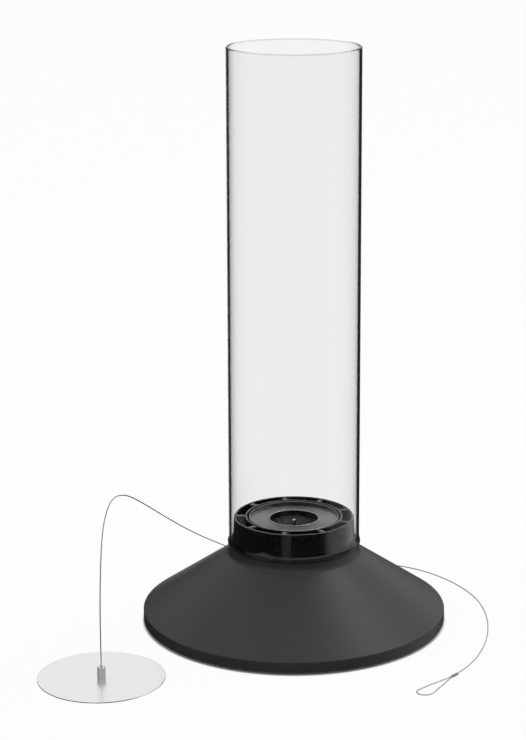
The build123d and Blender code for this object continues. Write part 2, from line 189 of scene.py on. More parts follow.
class CFP_snuffer_settings(bpy.types.PropertyGroup):
    cable_thickness: FloatProperty(
        name="Cable thickness", description="Diameter of the cable", default=1.0 * MM, unit="LENGTH"
    )
    crimp_length: FloatProperty(
        name="Crimp length", description="Length of the crimp sleeve", default=7.5 * MM, unit="LENGTH"
    )
    disc_steel: FloatVectorProperty(
        name="Disc steel", description="Colour of the disc", default=(0.80, 0.80, 0.795), subtype="COLOR"
    )


# Node groups and materials


def node_group(name, inputs, outputs):
    """New shader node group with its sockets: (group, its input node, its output node)."""
    group = bpy.data.node_groups.new(name, "ShaderNodeTree")
    for socket, kind, default in inputs:
        made = group.interface.new_socket(socket, in_out="INPUT", socket_type=kind)
        made.default_value = default
    for socket, kind in outputs:
        group.interface.new_socket(socket, in_out="OUTPUT", socket_type=kind)
    return group, group.nodes.new("NodeGroupInput"), group.nodes.new("NodeGroupOutput")


def add_node(tree, kind, values=None, **settings):
    """New node with its settings and the default values of its inputs."""
    made = tree.nodes.new(kind)
    for key, value in settings.items():
        setattr(made, key, value)
    for key, value in (values or {}).items():
        made.inputs[key].default_value = value
    return made


def math_node(tree, operation, *values):
    """Output of a new Math node; each value is a number or another node's output."""
    made = add_node(tree, "ShaderNodeMath", operation=operation)
    for socket, value in zip(made.inputs, values):
        if isinstance(value, float):
            socket.default_value = value
        else:
            tree.links.new(value, socket)
    return made.outputs[0]


def graded(tree, value, low, high, dark, bright):
    """Output that goes from dark to bright while the value goes from low to high."""
    made = add_node(tree, "ShaderNodeMapRange", {1: low, 2: high, 3: dark, 4: bright})
    tree.links.new(value, made.inputs["Value"])
    return made.outputs["Result"]


def along(tree, place, direction):
    """How far a place lies in a direction."""
    made = add_node(tree, "ShaderNodeVectorMath", {1: direction}, operation="DOT_PRODUCT")
    tree.links.new(place, made.inputs[0])
    return made.outputs["Value"]


def build_fine_grain():
    """Fine grain of a sprayed or cast surface: a height for the bump, and an uneven roughness."""
    group, inside, outside = node_group(
        "Fine Grain",
        [
            ("Scale", "NodeSocketFloat", 900.0),
            ("Roughness", "NodeSocketFloat", 0.4),
            ("Spread", "NodeSocketFloat", 0.06),
        ],
        [("Height", "NodeSocketFloat"), ("Roughness", "NodeSocketFloat")],
    )
    place = add_node(group, "ShaderNodeTexCoord")
    grain = add_node(group, "ShaderNodeTexNoise", {"Detail": 3.0, "Roughness": 0.55})
    patches = add_node(group, "ShaderNodeTexNoise", {"Scale": 14.0, "Detail": 2.0})
    around_zero = math_node(group, "SUBTRACT", patches.outputs["Fac"], 0.5)
    spread, middle = inside.outputs["Spread"], inside.outputs["Roughness"]
    uneven = math_node(group, "MULTIPLY_ADD", around_zero, spread, middle)
    link = group.links.new
    link(place.outputs["Object"], grain.inputs["Vector"])
    link(place.outputs["Object"], patches.inputs["Vector"])
    link(inside.outputs["Scale"], grain.inputs["Scale"])
    link(grain.outputs["Fac"], outside.inputs["Height"])
    link(uneven, outside.inputs["Roughness"])
    return group


def build_turned_marks():
    """Marks of turning round an upright axis: a height, a cloudy mask and a painted sheen that is lighter
    to the sides and darker to front and back.
    """
    group, inside, outside = node_group(
        "Turned Marks",
        [
            ("Centre", "NodeSocketVector", (0.0, 0.0, 0.0)),
            ("Pitch", "NodeSocketFloat", 2200.0),
        ],
        [("Height", "NodeSocketFloat"), ("Mask", "NodeSocketFloat"), ("Painted Sheen", "NodeSocketFloat")],
    )
    place = add_node(group, "ShaderNodeTexCoord")
    centred = add_node(group, "ShaderNodeVectorMath", operation="SUBTRACT")
    flat = add_node(group, "ShaderNodeVectorMath", {1: (1.0, 1.0, 0.0)}, operation="MULTIPLY")
    reach = add_node(group, "ShaderNodeVectorMath", operation="LENGTH")
    rings = add_node(group, "ShaderNodeTexNoise", {"Detail": 2.0}, noise_dimensions="1D")
    clouds = add_node(group, "ShaderNodeTexNoise", {"Scale": 22.0, "Detail": 3.0})
    # Painted sheen: the square of the heading's sideways share, a painted reflection streak on turned
    # steel.
    heading = add_node(group, "ShaderNodeVectorMath", operation="NORMALIZE")
    parts = add_node(group, "ShaderNodeSeparateXYZ")
    painted_sheen = math_node(group, "MULTIPLY", parts.outputs["X"], parts.outputs["X"])
    link = group.links.new
    link(place.outputs["Object"], centred.inputs[0])
    link(inside.outputs["Centre"], centred.inputs[1])
    link(centred.outputs["Vector"], flat.inputs[0])
    link(flat.outputs["Vector"], reach.inputs[0])
    link(reach.outputs["Value"], rings.inputs["W"])
    link(inside.outputs["Pitch"], rings.inputs["Scale"])
    link(place.outputs["Object"], clouds.inputs["Vector"])
    link(rings.outputs["Fac"], outside.inputs["Height"])
    link(clouds.outputs["Fac"], outside.inputs["Mask"])
    link(flat.outputs["Vector"], heading.inputs[0])
    link(heading.outputs["Vector"], parts.inputs["Vector"])
    link(painted_sheen, outside.inputs["Painted Sheen"])
    return group


def new_material(name, base_color, metallic, roughness, **sockets):
    """Material with one Principled BSDF: (material, its tree, the shader)."""
    material = bpy.data.materials.new(name)
    material.use_nodes = True
    tree = material.node_tree
    shader = tree.nodes["Principled BSDF"]
    shader.inputs["Base Color"].default_value = (*base_color, 1.0)
    shader.inputs["Metallic"].default_value = metallic
    shader.inputs["Roughness"].default_value = roughness
    for key, value in sockets.items():
        shader.inputs[key.replace("_", " ")].default_value = value
    return material, tree, shader


def add_bump(tree, shader, height, distance, strength):
    """Bump from a height into the shader's normal."""
    bump = add_node(tree, "ShaderNodeBump", {"Strength": strength, "Distance": distance})
    tree.links.new(height, bump.inputs["Height"])
    tree.links.new(bump.outputs["Normal"], shader.inputs["Normal"])


def varied_color(tree, shader, mask, low, high):
    """Base colour that goes from low to high with the mask."""
    ramp = add_node(tree, "ShaderNodeMix", data_type="RGBA")
    ramp.inputs["A"].default_value = (*low, 1.0)
    ramp.inputs["B"].default_value = (*high, 1.0)
    tree.links.new(mask, ramp.inputs["Factor"])
    tree.links.new(ramp.outputs["Result"], shader.inputs["Base Color"])


def grained(name, base_color, grain, scale, roughness, spread=0.06, depth=0.02 * MM, **sockets):
    """Material with an even fine grain, for lacquer, enamel, rubber, coatings and wool."""
    material, tree, shader = new_material(name, base_color, 0.0, roughness, **sockets)
    marks = add_node(tree, "ShaderNodeGroup", node_tree=grain)
    marks.inputs["Scale"].default_value = scale
    marks.inputs["Roughness"].default_value = roughness
    marks.inputs["Spread"].default_value = spread
    tree.links.new(marks.outputs["Roughness"], shader.inputs["Roughness"])
    add_bump(tree, shader, marks.outputs["Height"], depth, 0.35)
    return material


def turned_metal(
    name,
    low,
    high,
    turned,
    centre=(0.0, 0.0, 0.0),
    pitch=2200.0,
    roughness=0.3,
    depth=0.01 * MM,
    tone="Mask",
):
    """Metal with fine rings round an upright axis and a cloudy change of tone, or a painted sheen that is
    lighter to the sides.
    """
    material, tree, shader = new_material(name, high, 1.0, roughness)
    marks = add_node(tree, "ShaderNodeGroup", node_tree=turned)
    marks.inputs["Centre"].default_value = centre
    marks.inputs["Pitch"].default_value = pitch
    varied_color(tree, shader, marks.outputs[tone], low, high)
    add_bump(tree, shader, marks.outputs["Height"], depth, 0.3)
    return material


def shade(color, factor):
    """Colour made darker or lighter by the factor."""
    return tuple(min(1.0, channel * factor) for channel in color)


def grey(value):
    """Colour with three equal channels."""
    return (value, value, value)


def make_materials(scene):
    """All finishes of the object by name."""
    grain = build_fine_grain()
    turned = build_turned_marks()
    lacquer = scene.cfp_base.lacquer
    steel = scene.cfp_burner.steel
    disc = scene.cfp_snuffer.disc_steel
    tint = scene.cfp_glass.tint
    return {
        "lacquer": grained(
            "black_lacquer",
            lacquer,
            grain,
            scale=1500.0,
            roughness=0.42,
            spread=0.05,
            Specular_IOR_Level=0.33,
        ),
        "enamel": grained(
            "black_enamel",
            shade(lacquer, 0.2),
            grain,
            scale=500.0,
            roughness=0.14,
            spread=0.05,
            depth=0.003 * MM,
        ),
        "coating": grained("black_coating", shade(lacquer, 0.8), grain, scale=1100.0, roughness=0.65),
        "rubber": grained("foot_rubber", shade(lacquer, 0.6), grain, scale=2500.0, roughness=0.8),
        "silicone": grained("gasket_silicone", shade(lacquer, 0.4), grain, scale=2500.0, roughness=0.5),
        "wool": grained(
            "wool_fibre", (0.62, 0.60, 0.56), grain, scale=1800.0, roughness=0.95, depth=0.2 * MM
        ),
        "screw": turned_metal("screw_steel", grey(0.35), grey(0.5), turned),
        # Burner steel: darker to front and back and lighter to the sides, a painted sheen.
        "burner": turned_metal(
            "burner_steel_painted_sheen", shade(steel, 0.2), steel, turned, roughness=0.36, tone="Painted Sheen"
        ),
        "sleeve": turned_metal("sleeve_steel", shade(steel, 2.2), shade(steel, 2.6), turned, roughness=0.4),
        # Lip finish: polished, and painted lighter as a highlight on the mouth's lip and the rim's top.
        "lip": turned_metal("polished_lip_painted_highlight", shade(steel, 1.4), shade(steel, 1.7), turned, roughness=0.25),
        "bright": turned_metal("rod_steel", grey(0.45), grey(0.55), turned, roughness=0.2),
        "ferrule": turned_metal(
            "ferrule_steel", grey(0.5), grey(0.58), turned, centre=DISC_CENTRE, roughness=0.14
        ),
        "disc": turned_metal(
            "disc_steel",
            shade(disc, 0.97),
            shade(disc, 1.03),
            turned,
            centre=DISC_CENTRE,
            pitch=1500.0,
            roughness=0.24,
            depth=0.004 * MM,
        ),
        "cable": turned_metal("cable_steel", grey(0.36), grey(0.46), turned, roughness=0.35),
        "crimp": turned_metal("crimp_steel", grey(0.16), grey(0.24), turned, roughness=0.4),
        "glass": make_glass("clear_glass", tint),
        # Rim and foot glass are darker as painted shade.
        "glass_rim": make_glass("rim_glass_painted_shade", shade(tint, 0.8)),
        "glass_foot": make_glass("foot_glass_painted_shade", shade(tint, 0.035), clearness=0.5),
    }


def make_glass(name, tint, clearness=1.0):
    """Glass with a grey tint: faint for the wall; deeper at the rim and dark and half opaque at the foot,
    both painted shade.
    """
    material, _tree, shader = new_material(name, tint, 0.0, 0.0)
    shader.inputs["Transmission Weight"].default_value = clearness
    shader.inputs["IOR"].default_value = 1.25
    return material


FINISHES = {}


def finish_of(name):
    """Material of a finish; the first call makes all of them."""
    if not FINISHES:
        FINISHES.update(make_materials(bpy.context.scene))
    return FINISHES[name]


# Modelling helpers


def start_clean():
    """Leave edit mode and select nothing."""
    if bpy.context.object and bpy.context.object.mode != "OBJECT":
        bpy.ops.object.mode_set(mode="OBJECT")
    bpy.ops.object.select_all(action="DESELECT")


def first_vertex(name, place):
    """New object in edit mode with one selected vertex at the place."""
    start_clean()
    bpy.ops.mesh.primitive_plane_add(size=MM, location=place)
    piece = bpy.context.object
    piece.name = name
    piece.data.name = name
    bpy.ops.object.transform_apply(location=True, rotation=True, scale=True)
    bpy.ops.object.mode_set(mode="EDIT")
    bpy.ops.mesh.select_mode(type="VERT")
    bpy.ops.mesh.select_all(action="SELECT")
    bpy.ops.mesh.merge(type="CENTER")
    return piece


def arc_points(before, corner, after, radius, segments):
    """Points of the arc that rounds a corner of an outline."""
    into = (corner - before).normalized()
    out = (after - corner).normalized()
    half = into.angle(out) / 2
    start = corner - into * (radius * math.tan(half))
    bisector = (out - into).normalized()
    centre = corner + bisector * (radius / math.cos(half))
    arm = start - centre
    turn = into.angle_signed(out)
    points = []
    for step in range(segments + 1):
        angle = -turn * step / segments
        across = arm.x * math.cos(angle) - arm.y * math.sin(angle)
        up = arm.x * math.sin(angle) + arm.y * math.cos(angle)
        points.append(centre + Vector((across, up)))
    return points


def outline_points(corners, rounds, closed):
    """Outline of (radius, height) corners with some of them rounded; rounds is {index: radius}."""
    flat = [Vector(corner) for corner in corners]
    points = []
    for index, corner in enumerate(flat):
        radius = rounds.get(index, 0.0)
        inner = closed or 0 < index < len(flat) - 1
        if radius and inner:
            before = flat[index - 1]
            after = flat[(index + 1) % len(flat)]
            segments = min(round(radius / ARC_STEP) + 3, 14)
            points += arc_points(before, corner, after, radius, segments)
        else:
            points.append(corner)
    return points


def with_supports(points, closed):
    """Outline with a point near each end of its long runs, so that smooth shading stays true on them."""
    held = []
    for index, here in enumerate(points):
        held.append(here)
        there = points[(index + 1) % len(points)]
        run = there - here
        if (closed or index + 1 < len(points)) and run.length > 6 * SUPPORT_GAP:
            step = run.normalized() * SUPPORT_GAP
            held += [here + step, there - step]
    return held


def turned_piece(name, corners, rounds=None, closed=True, steps=192, centre=(0.0, 0.0)):
    """Piece turned on a lathe: an outline is drawn with extrude and spun round an upright axis."""
    points = with_supports(outline_points(corners, rounds or {}, closed), closed)
    first = points[0]
    piece = first_vertex(name, (centre[0] + first.x, centre[1], first.y))
    for here, there in zip(points, points[1:]):
        move = (there.x - here.x, 0.0, there.y - here.y)
        bpy.ops.mesh.extrude_region_move(TRANSFORM_OT_translate={"value": move})
    if closed:
        bpy.ops.mesh.select_all(action="DESELECT")
        bpy.ops.object.mode_set(mode="OBJECT")
        for end in (0, len(piece.data.vertices) - 1):
            piece.data.vertices[end].select = True
        bpy.ops.object.mode_set(mode="EDIT")
        bpy.ops.mesh.edge_face_add()
    bpy.ops.mesh.select_all(action="SELECT")
    bpy.ops.mesh.spin(steps=steps, angle=2 * math.pi, center=(*centre, 0.0), axis=(0.0, 0.0, 1.0))
    finish_shell(piece)
    return piece


def finish_shell(piece):
    """Merge doubles, point the faces outwards and shade the piece."""
    bpy.ops.object.mode_set(mode="EDIT")
    bpy.ops.mesh.select_all(action="SELECT")
    bpy.ops.mesh.remove_doubles(threshold=DOUBLES_GAP)
    bpy.ops.mesh.normals_make_consistent(inside=False)
    bpy.ops.object.mode_set(mode="OBJECT")
    shade_smooth(piece)


def shade_smooth(piece):
    """Shade a piece smooth, with its sharp edges kept."""
    start_clean()
    piece.select_set(True)
    bpy.context.view_layer.objects.active = piece
    bpy.ops.object.shade_smooth_by_angle(angle=SHARP_ANGLE)


def join_pieces(name, pieces):
    """Join several objects into the first one."""
    start_clean()
    for piece in pieces:
        piece.select_set(True)
    bpy.context.view_layer.objects.active = pieces[0]
    bpy.ops.object.join()
    pieces[0].name = name
    pieces[0].data.name = name
    return pieces[0]


def cover_with(mesh, finish):
    """Give a mesh one finish all over."""
    mesh.materials.clear()
    mesh.materials.append(finish_of(finish))


def dress(piece, finish, body, slot, *nodes):
    """Give a finished piece its finish, body and the nodes that it stands for; the slot is not used."""
    cover_with(piece.data, finish)
    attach(piece, body)
    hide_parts(*nodes)


# Base


def cone_corners(settings, inset):
    """Outline of the drawn shell's face, from the lip's foot to the ledge, drawn in by the inset."""
    slope = math.tan(settings.slope)
    drop = inset / math.cos(settings.slope)
    lip = BASE_RADIUS - inset
    neck = settings.neck_radius - inset
    foot_z = settings.lip_top + inset * slope - drop
    head_z = settings.lip_top + (BASE_RADIUS - neck) * slope - drop
    return [(lip, LIP_FOOT_Z), (lip, foot_z), (neck, head_z), (neck, LEDGE_Z - inset)]


class CFP_OT_base_cone(bpy.types.Operator):
    """Drawn steel cone with its lip, neck and ledge"""

    bl_idname = "cfp.base_cone"
    bl_label = "Base Cone"

    def execute(self, context):
        settings = context.scene.cfp_base
        outer = cone_corners(settings, 0.0)
        inner = cone_corners(settings, settings.wall)
        ledge = [(AIRWAY_RADIUS, LEDGE_Z), (AIRWAY_RADIUS, LEDGE_Z - settings.wall)]
        fillet = settings.neck_fillet
        rounds = {0: 0.4 * MM, 1: 0.9 * MM, 2: fillet, 3: 1.0 * MM, 7: fillet + settings.wall}
        piece = turned_piece("cone_shell", outer + ledge + inner[::-1], rounds, steps=256)
        dress(piece, "lacquer", "base", "black_lacquer", "base_cone")
        return {"FINISHED"}


class CFP_OT_gasket(bpy.types.Operator):
    """Sealing ring under the glass"""

    bl_idname = "cfp.gasket"
    bl_label = "Glass Gasket"

    def execute(self, context):
        low, high = GASKET_BOX
        bore = 57.4 * MM
        corners = [(bore, low.z), (high.x, low.z), (high.x, high.z), (bore, high.z)]
        piece = turned_piece("gasket_ring", corners, {1: 0.3 * MM, 2: 0.3 * MM})
        dress(piece, "silicone", "base", "gasket_silicone", "glass_gasket")
        return {"FINISHED"}


class CFP_OT_underside(bpy.types.Operator):
    """Plate, feet, screws and the well's parts, which keep their frame shapes"""

    bl_idname = "cfp.underside"
    bl_label = "Underside and Well"

    def execute(self, context):
        bosses = [f"plate_boss_{number}" for number in range(1, 5)]
        feet = [f"foot_{number}" for number in range(1, 6)]
        finished_nodes = {
            "coating": ["base_plate", "can_guide", *bosses],
            "rubber": feet,
            "screw": ["plate_screws", "collar_screws", "dish_rivets", "rod_nut"],
            "burner": ["can_dish"],
        }
        for finish, nodes in finished_nodes.items():
            for node in nodes:
                cover_with(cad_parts[node].data, finish)
        return {"FINISHED"}


# Collar


def helical_vane(angle_deg, inner, outer, width, top_z, foot_z, lean):
    """One vane: a strip across the airway, extruded down in steps that turn round the axis."""
    start_clean()
    middle = (inner + outer) / 2
    bpy.ops.mesh.primitive_plane_add(size=1.0, location=(middle, 0.0, top_z))
    piece = bpy.context.object
    piece.scale = (outer - inner, width, 1.0)
    bpy.ops.object.transform_apply(location=True, rotation=True, scale=True)
    bpy.ops.object.mode_set(mode="EDIT")
    bpy.ops.mesh.select_all(action="SELECT")
    levels = 6
    move = (0.0, 0.0, (foot_z - top_z) / levels)
    for _ in range(levels):
        bpy.ops.mesh.extrude_region_move(TRANSFORM_OT_translate={"value": move})
        bpy.ops.transform.rotate(
            value=-lean / levels, orient_axis="Z", orient_type="GLOBAL", center_override=(0.0, 0.0, 0.0)
        )
    bpy.ops.mesh.select_all(action="SELECT")
    bpy.ops.mesh.normals_make_consistent(inside=False)
    bpy.ops.object.mode_set(mode="OBJECT")
    bevel = piece.modifiers.new("soft_edges", "BEVEL")
    bevel.width = 0.35 * MM
    bevel.segments = 3
    bevel.limit_method = "ANGLE"
    bpy.ops.object.modifier_apply(modifier=bevel.name)
    piece.rotation_euler.z = math.radians(angle_deg)
    bpy.ops.object.transform_apply(location=True, rotation=True, scale=True)
    return piece


class CFP_OT_air_collar(bpy.types.Operator):
    """Cast collar with its ring and slanted vanes"""

    bl_idname = "cfp.air_collar"
    bl_label = "Air Collar"

    def execute(self, context):
        piece = join_pieces("collar_casting", [self.wall(), self.ring(), *self.vanes(context)])
        shade_smooth(piece)
        dress(piece, "enamel", "base", "black_enamel", "air_collar")
        return {"FINISHED"}

    def wall(self):
        """Wall round the airway: an upright flange on the ledge, and a face that leans in above it."""
        flange = 57.1 * MM
        flange_top = LEDGE_Z + 4.0 * MM
        waist, waist_z = 56.1 * MM, 77.4 * MM
        head = 55.1 * MM
        corners = [
            (AIRWAY_RADIUS, LEDGE_Z),
            (flange, LEDGE_Z),
            (flange, flange_top),
            (waist, waist_z),
            (head, COLLAR_TOP_Z),
            (AIRWAY_RADIUS, COLLAR_TOP_Z),
        ]
        rounds = {1: 0.3 * MM, 2: 0.6 * MM, 3: 0.8 * MM, 4: 0.7 * MM, 5: 0.7 * MM}
        return turned_piece("collar_wall", corners, rounds)

    def ring(self):
        """Ring round the can's well, thinner in its lower half, which the guide is pressed on."""
        bore = 42.9 * MM
        spigot, spigot_foot, spigot_top = 44.0 * MM, 66.0 * MM, 74.0 * MM
        head = 45.0 * MM
        corners = [
            (bore, spigot_foot),
            (spigot, spigot_foot),
            (spigot, spigot_top),
            (head, spigot_top),
            (head, COLLAR_TOP_Z),
            (bore, COLLAR_TOP_Z),
        ]
        return turned_piece("collar_ring", corners, {4: 0.7 * MM, 5: 0.7 * MM})

    def vanes(self, context):
        """Vanes between ring and wall, a little below their tops."""
        count = context.scene.cfp_burner.vanes
        first_deg = 20.0
        inner, outer = 44.0 * MM, 53.9 * MM
        width = 4.0 * MM
        top_z, foot_z = COLLAR_TOP_Z - 0.4 * MM, 75.0 * MM
        lean = math.radians(11.0)
        return [
            helical_vane(first_deg + 360.0 * i / count, inner, outer, width, top_z, foot_z, lean)
            for i in range(count)
        ]


# Glass


class CFP_OT_glass_tube(bpy.types.Operator):
    """Glass tube with fire-polished ends and a bead at its foot"""

    bl_idname = "cfp.glass_tube"
    bl_label = "Glass Tube"

    def execute(self, context):
        settings = context.scene.cfp_glass
        bore = settings.radius - settings.wall
        bead = settings.radius + 0.9 * MM
        bead_top = GLASS_FOOT_Z + 2.6 * MM
        polish = 0.45 * settings.wall
        # Bands at the rim and at the foot that get the painted shade of darker glass.
        rim_band = GLASS_TOP_Z - 1.3 * MM
        foot_band = bead_top + 0.5 * MM
        corners = [
            (bore, GLASS_FOOT_Z),
            (bead, GLASS_FOOT_Z),
            (bead, bead_top),
            (settings.radius, bead_top + 2.8 * MM),
            (settings.radius, GLASS_TOP_Z),
            (bore, GLASS_TOP_Z),
        ]
        rounds = {0: 0.8 * MM, 1: polish, 2: 1.2 * MM, 3: 2.0 * MM, 4: polish, 5: polish}
        piece = turned_piece("glass_wall", corners, rounds, steps=256)
        dress(piece, "glass", "glass", "clear_glass", "glass_tube")
        # Rim faces get a deeper tint and foot faces a near-black, half opaque glass: painted shade.
        for finish in ("glass_rim", "glass_foot"):
            piece.data.materials.append(finish_of(finish))
        for face in piece.data.polygons:
            if face.center.z > rim_band:
                face.material_index = 1
            elif face.center.z < foot_band:
                face.material_index = 2
        return {"FINISHED"}


# Burner


class CFP_OT_burner_cover(bpy.types.Operator):
    """Pressed cover with its rolled lip and throat"""

    bl_idname = "cfp.burner_cover"
    bl_label = "Burner Cover"

    def execute(self, context):
        mouth = context.scene.cfp_burner.mouth_radius
        sheet = 1.0 * MM
        lip, lip_top = mouth + 1.4 * MM, COVER_BOX[1].z
        top = lip_top - 0.7 * MM
        throat_foot = top - 5.0 * MM
        skirt, skirt_foot = 40.35 * MM, COVER_BOX[0].z
        outer = 41.3 * MM
        rim = 0.7 * MM
        rim_top = COLLAR_TOP_Z - 0.6 * MM
        corners = [
            (mouth, throat_foot),
            (mouth + sheet, throat_foot),
            (mouth + sheet, top - sheet),
            (skirt, top - sheet),
            (skirt, skirt_foot),
            (outer, skirt_foot),
            (outer, rim_top),
            (outer - rim, rim_top),
            (outer - rim, top),
            (lip, top),
            (lip, lip_top),
            (mouth, lip_top),
        ]
        rounds = dict.fromkeys((0, 1, 6, 7, 9), 0.3 * MM)
        rounds.update(dict.fromkeys((8, 10, 11), 0.6 * MM))
        piece = turned_piece("burner_cover", corners, rounds)
        dress(piece, "burner", "burner", "satin_steel", "burner_plate")
        # The mouth's lip and the rim's top get the lighter lip finish: a polish with a painted highlight.
        piece.data.materials.append(finish_of("lip"))
        for face in piece.data.polygons:
            reach = math.hypot(face.center.x, face.center.y)
            painted_rim_highlight = reach > outer - rim and face.normal.z > 0.3
            if face.center.z > top + 0.1 * MM and (reach < lip or painted_rim_highlight):
                face.material_index = 1
        return {"FINISHED"}


class CFP_OT_fuel_can(bpy.types.Operator):
    """Drawn fuel can"""

    bl_idname = "cfp.fuel_can"
    bl_label = "Fuel Can"

    def execute(self, context):
        radius = 40.3 * MM
        wall = 0.8 * MM
        low, high = CAN_BOX[0].z, CAN_BOX[1].z
        corners = [
            (0.0, low),
            (radius, low),
            (radius, high),
            (radius - wall, high),
            (radius - wall, low + wall),
            (0.0, low + wall),
        ]
        piece = turned_piece("can_body", corners, {1: 3.0 * MM, 4: 2.2 * MM}, closed=False, steps=128)
        dress(piece, "burner", "burner", "satin_steel", "fuel_can")
        return {"FINISHED"}


class CFP_OT_sleeve(bpy.types.Operator):
    """Slotted sleeve: two plain bands and upright bars between them"""

    bl_idname = "cfp.sleeve"
    bl_label = "Slotted Sleeve"

    def execute(self, context):
        inner, outer = 24.2 * MM, 25.0 * MM
        low, high = SLEEVE_BOX[0].z, SLEEVE_BOX[1].z
        slot_low, slot_high = 30.0 * MM, 88.0 * MM
        bands = [
            self.plain_band(inner, outer, foot, top) for foot, top in ((low, slot_low), (slot_high, high))
        ]
        bars = self.upright_bars(context.scene.cfp_burner.sleeve_slots, inner, outer, slot_low, slot_high)
        piece = join_pieces("sleeve_slotted", bands + [bars])
        dress(piece, "sleeve", "burner", "satin_steel", "slotted_sleeve")
        return {"FINISHED"}

    def plain_band(self, inner, outer, foot, top):
        """Band above or below the slots."""
        corners = [(inner, foot), (outer, foot), (outer, top), (inner, top)]
        return turned_piece("sleeve_band", corners, dict.fromkeys(range(4), 0.15 * MM), steps=120)

    def upright_bars(self, count, inner, outer, low, high):
        """Bars between the slots, one made and spun round in copies."""
        start_clean()
        slot = 1.0 * MM
        bite = 0.3 * MM
        width = 2 * math.pi * inner / count - slot
        middle = ((inner + outer) / 2, 0.0, (low + high) / 2)
        bpy.ops.mesh.primitive_cube_add(size=1.0, location=middle)
        bar = bpy.context.object
        bar.scale = (outer - inner, width, high - low + 2 * bite)
        bpy.ops.object.transform_apply(location=True, rotation=True, scale=True)
        bpy.ops.object.mode_set(mode="EDIT")
        bpy.ops.mesh.select_all(action="SELECT")
        bpy.ops.mesh.bevel(offset=0.12 * MM, segments=2, affect="EDGES")
        bpy.ops.mesh.select_all(action="SELECT")
        bpy.ops.mesh.spin(
            steps=count - 1,
            dupli=True,
            angle=2 * math.pi * (count - 1) / count,
            center=(0.0, 0.0, 0.0),
            axis=(0.0, 0.0, 1.0),
        )
        bpy.ops.mesh.select_all(action="SELECT")
        bpy.ops.mesh.normals_make_consistent(inside=False)
        bpy.ops.object.mode_set(mode="OBJECT")
        return bar


class CFP_OT_wool(bpy.types.Operator):
    """Packed ceramic wool, with a soft uneven top"""

    bl_idname = "cfp.wool"
    bl_label = "Ceramic Wool"

    def execute(self, context):
        inner, outer = 25.3 * MM, 39.2 * MM
        low, high = WOOL_BOX[0].z + 0.1 * MM, WOOL_BOX[1].z - 0.4 * MM
        corners = [(inner, low), (outer, low), (outer, high), (inner, high)]
        piece = turned_piece("wool_packing", corners, {1: 3.0 * MM, 2: 3.0 * MM, 3: 3.0 * MM}, steps=96)
        lumps = bpy.data.textures.new("wool_lumps", "CLOUDS")
        lumps.noise_scale = 6.0 * MM
        swell = piece.modifiers.new("lumps", "DISPLACE")
        swell.texture = lumps
        swell.texture_coords = "LOCAL"
        swell.mid_level = 1.0
        swell.strength = 0.5 * MM
        bpy.ops.object.modifier_apply(modifier=swell.name)
        dress(piece, "wool", "burner", "ceramic_wool", "ceramic_wool")
        return {"FINISHED"}


class CFP_OT_centre_rod(bpy.types.Operator):
    """Rod that the can is drawn out by"""

    bl_idname = "cfp.centre_rod"
    bl_label = "Centre Rod"

    def execute(self, context):
        radius = ROD_BOX[1].x
        low, high = ROD_BOX[0].z, ROD_BOX[1].z
        corners = [(0.0, low), (radius, low), (radius, high), (0.0, high)]
        piece = turned_piece("lift_rod", corners, {2: 0.8 * MM}, closed=False, steps=48)
        dress(piece, "bright", "burner", "bright_steel", "centre_rod")
        return {"FINISHED"}


# Snuffer


class CFP_OT_snuffer_disc(bpy.types.Operator):
    """Thin steel disc"""

    bl_idname = "cfp.snuffer_disc"
    bl_label = "Snuffer Disc"

    def execute(self, context):
        radius = (DISC_BOX[1].x - DISC_BOX[0].x) / 2
        top = DISC_BOX[1].z
        face_rings = [DISC_HOLE + (radius - DISC_HOLE) * share for share in (0.75, 0.5, 0.25)]
        corners = [(DISC_HOLE, 0.0), (radius, 0.0)]
        corners += [(reach, top) for reach in (radius, *face_rings, DISC_HOLE)]
        rounds = {1: 0.22 * MM, 2: 0.22 * MM}
        piece = turned_piece("disc_sheet", corners, rounds, steps=256, centre=DISC_CENTRE[:2])
        dress(piece, "disc", "snuffer", "disc_steel", "snuffer_disc")
        return {"FINISHED"}


class CFP_OT_ferrule(bpy.types.Operator):
    """Turned ferrule in the disc's middle"""

    bl_idname = "cfp.ferrule"
    bl_label = "Disc Ferrule"

    def execute(self, context):
        low, high = FERRULE_BOX
        radius = (high.x - low.x) / 2
        socket, socket_floor = 0.5 * MM, 4.3 * MM
        corners = [
            (0.0, low.z),
            (DISC_HOLE, low.z),
            (DISC_HOLE, DISC_BOX[1].z),
            (radius, DISC_BOX[1].z),
            (radius, high.z),
            (socket, high.z),
            (socket, socket_floor),
            (0.0, socket_floor),
        ]
        rounds = {3: 0.15 * MM, 4: 0.5 * MM, 5: 0.15 * MM}
        piece = turned_piece(
            "ferrule_body", corners, rounds, closed=False, steps=96, centre=DISC_CENTRE[:2]
        )
        dress(piece, "ferrule", "snuffer", "bright_steel", "disc_ferrule")
        return {"FINISHED"}


